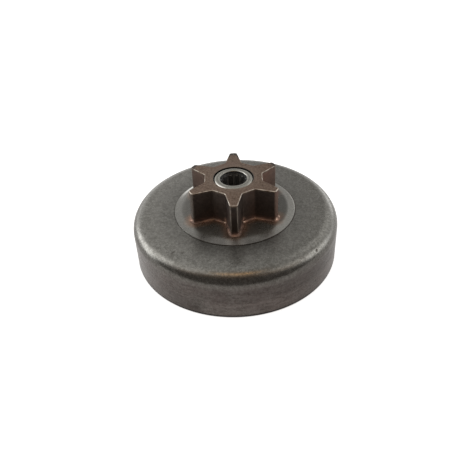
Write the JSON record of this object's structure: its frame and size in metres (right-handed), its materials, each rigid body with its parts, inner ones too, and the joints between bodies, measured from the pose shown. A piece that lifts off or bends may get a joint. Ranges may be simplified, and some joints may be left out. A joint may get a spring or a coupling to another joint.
{
  "type": "chainsaw clutch drum with spur sprocket",
  "caption": "Pressed-steel chainsaw clutch drum with a spur sprocket brazed to its face and a needle bearing in the bore, so it idles on the crankshaft and drives the chain.",
  "frame": {"origin": "centre of the drum's open rim, in the plane that the part stands on", "axes": "+Z along the shaft axis from the open rim towards the sprocket, one tooth pointing along -Y"},
  "size_m": [0.076, 0.076, 0.0315],
  "materials": {
    "drum_steel": "tumbled, matte grey",
    "sprocket_steel": "pressed and furnace-browned, matte",
    "braze_copper": "copper braze, satin",
    "bearing_steel": "ground, satin",
    "cage_steel": "dark, oiled",
    "roller_steel": "polished"
  },
  "bodies": {
    "drum": {"clutch_drum": "drum_steel", "spur_sprocket": "sprocket_steel", "braze_fillet": "braze_copper", "bearing_cup": "bearing_steel"},
    "cage": {"needle_cage": "cage_steel"},
    "roller_01": {"needle_roller_01": "roller_steel"},
    "roller_02": {"needle_roller_02": "roller_steel"},
    "roller_03": {"needle_roller_03": "roller_steel"},
    "roller_04": {"needle_roller_04": "roller_steel"},
    "roller_05": {"needle_roller_05": "roller_steel"},
    "roller_06": {"needle_roller_06": "roller_steel"},
    "roller_07": {"needle_roller_07": "roller_steel"},
    "roller_08": {"needle_roller_08": "roller_steel"},
    "roller_09": {"needle_roller_09": "roller_steel"},
    "roller_10": {"needle_roller_10": "roller_steel"},
    "roller_11": {"needle_roller_11": "roller_steel"},
    "roller_12": {"needle_roller_12": "roller_steel"},
    "roller_13": {"needle_roller_13": "roller_steel"},
    "roller_14": {"needle_roller_14": "roller_steel"}
  },
  "joints": [
    {"name": "cage_spin", "type": "hinge", "parent": "drum", "child": "cage", "pos_m": [0, 0, 0.02497], "axis": [0, 0, 1], "continuous": true},
    {"name": "roller_01_spin", "type": "hinge", "parent": "cage", "child": "roller_01", "pos_m": [0.00564, 0, 0.02497], "axis": [0, 0, 1], "continuous": true},
    {"name": "roller_02_spin", "type": "hinge", "parent": "cage", "child": "roller_02", "pos_m": [0.00508, 0.00245, 0.02497], "axis": [0, 0, 1], "continuous": true},
    {"name": "roller_03_spin", "type": "hinge", "parent": "cage", "child": "roller_03", "pos_m": [0.00352, 0.00441, 0.02497], "axis": [0, 0, 1], "continuous": true},
    {"name": "roller_04_spin", "type": "hinge", "parent": "cage", "child": "roller_04", "pos_m": [0.00126, 0.0055, 0.02497], "axis": [0, 0, 1], "continuous": true},
    {"name": "roller_05_spin", "type": "hinge", "parent": "cage", "child": "roller_05", "pos_m": [-0.00126, 0.0055, 0.02497], "axis": [0, 0, 1], "continuous": true},
    {"name": "roller_06_spin", "type": "hinge", "parent": "cage", "child": "roller_06", "pos_m": [-0.00352, 0.00441, 0.02497], "axis": [0, 0, 1], "continuous": true},
    {"name": "roller_07_spin", "type": "hinge", "parent": "cage", "child": "roller_07", "pos_m": [-0.00508, 0.00245, 0.02497], "axis": [0, 0, 1], "continuous": true},
    {"name": "roller_08_spin", "type": "hinge", "parent": "cage", "child": "roller_08", "pos_m": [-0.00564, 0, 0.02497], "axis": [0, 0, 1], "continuous": true},
    {"name": "roller_09_spin", "type": "hinge", "parent": "cage", "child": "roller_09", "pos_m": [-0.00508, -0.00245, 0.02497], "axis": [0, 0, 1], "continuous": true},
    {"name": "roller_10_spin", "type": "hinge", "parent": "cage", "child": "roller_10", "pos_m": [-0.00352, -0.00441, 0.02497], "axis": [0, 0, 1], "continuous": true},
    {"name": "roller_11_spin", "type": "hinge", "parent": "cage", "child": "roller_11", "pos_m": [-0.00126, -0.0055, 0.02497], "axis": [0, 0, 1], "continuous": true},
    {"name": "roller_12_spin", "type": "hinge", "parent": "cage", "child": "roller_12", "pos_m": [0.00126, -0.0055, 0.02497], "axis": [0, 0, 1], "continuous": true},
    {"name": "roller_13_spin", "type": "hinge", "parent": "cage", "child": "roller_13", "pos_m": [0.00352, -0.00441, 0.02497], "axis": [0, 0, 1], "continuous": true},
    {"name": "roller_14_spin", "type": "hinge", "parent": "cage", "child": "roller_14", "pos_m": [0.00508, -0.00245, 0.02497], "axis": [0, 0, 1], "continuous": true}
  ],
  "couplings": [
    {"joint": "roller_01_spin", "follows": "cage_spin", "ratio": -7.4591},
    {"joint": "roller_02_spin", "follows": "cage_spin", "ratio": -7.4591},
    {"joint": "roller_03_spin", "follows": "cage_spin", "ratio": -7.4591},
    {"joint": "roller_04_spin", "follows": "cage_spin", "ratio": -7.4591},
    {"joint": "roller_05_spin", "follows": "cage_spin", "ratio": -7.4591},
    {"joint": "roller_06_spin", "follows": "cage_spin", "ratio": -7.4591},
    {"joint": "roller_07_spin", "follows": "cage_spin", "ratio": -7.4591},
    {"joint": "roller_08_spin", "follows": "cage_spin", "ratio": -7.4591},
    {"joint": "roller_09_spin", "follows": "cage_spin", "ratio": -7.4591},
    {"joint": "roller_10_spin", "follows": "cage_spin", "ratio": -7.4591},
    {"joint": "roller_11_spin", "follows": "cage_spin", "ratio": -7.4591},
    {"joint": "roller_12_spin", "follows": "cage_spin", "ratio": -7.4591},
    {"joint": "roller_13_spin", "follows": "cage_spin", "ratio": -7.4591},
    {"joint": "roller_14_spin", "follows": "cage_spin", "ratio": -7.4591}
  ]
}
